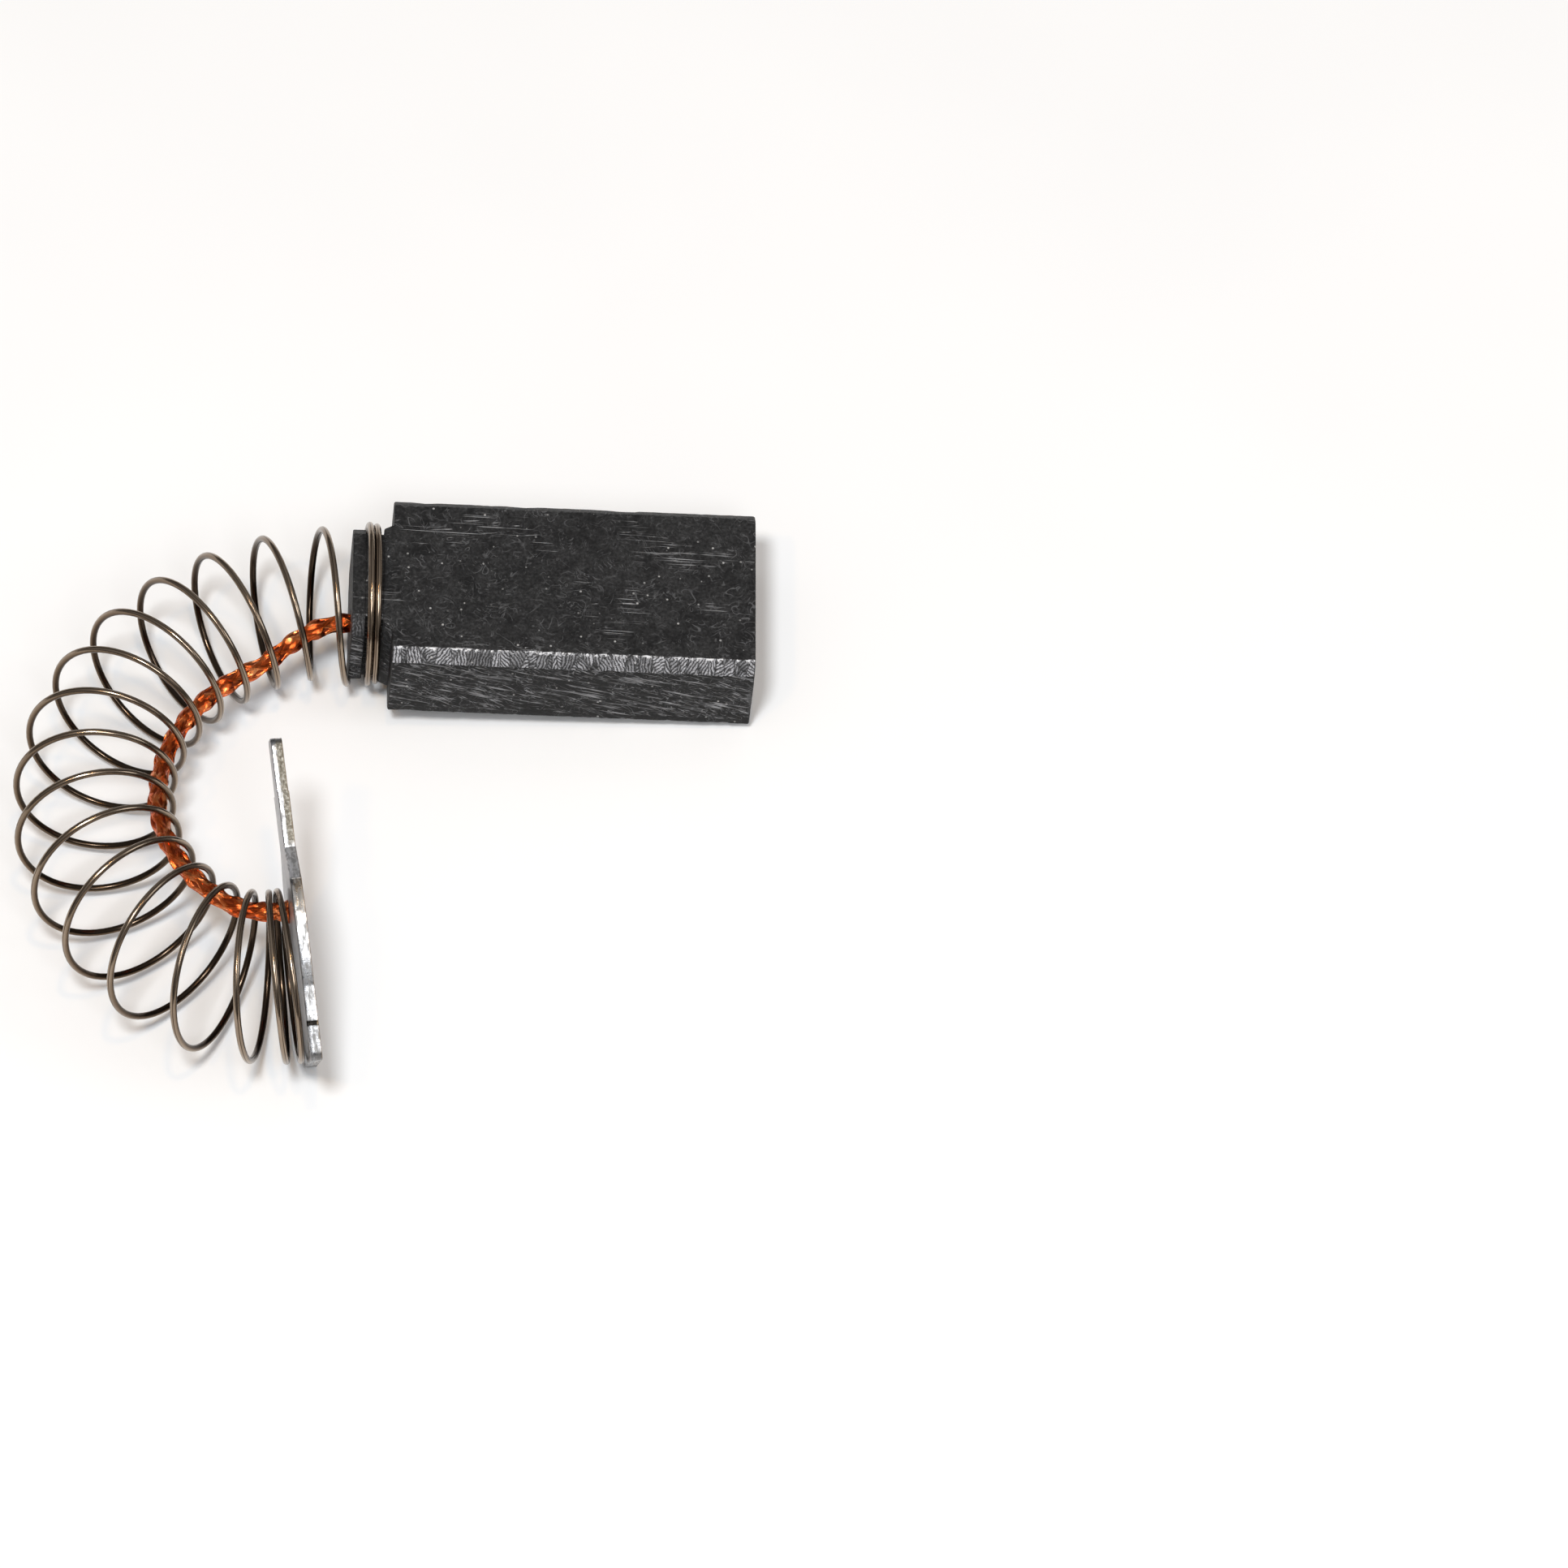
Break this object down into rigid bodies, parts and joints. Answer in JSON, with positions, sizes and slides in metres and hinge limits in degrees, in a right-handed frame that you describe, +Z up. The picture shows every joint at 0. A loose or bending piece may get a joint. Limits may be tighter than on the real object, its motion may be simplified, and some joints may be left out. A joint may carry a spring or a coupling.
{
  "type": "carbon brush",
  "caption": "Carbon brush: a chamfered graphite block with a grooved tail, a coil spring bowed by its copper shunt braid, and a stamped contact plate.",
  "frame": {"origin": "centre of the block's contact face", "axes": "the brush as it lies on a bench: +Z up, the block's length along X with its contact face towards +X, pitched up 4.1 degrees towards the spring, which bows towards -Y"},
  "size_m": [0.038, 0.0342, 0.0123],
  "materials": {
    "carbon": "matt fired graphite, scuffed along the edges",
    "tamping": "dull pressed copper powder",
    "copper_braid": "bare copper strand, woven",
    "spring_wire": "drawn spring wire, lightly oxidised",
    "plate": "tinned sheet with punched edges"
  },
  "bodies": {
    "root": {"carbon_block": "carbon", "tamped_plug": "tamping", "shunt_braid": "copper_braid", "spring": "spring_wire", "contact_plate": "plate"}
  },
  "joints": []
}
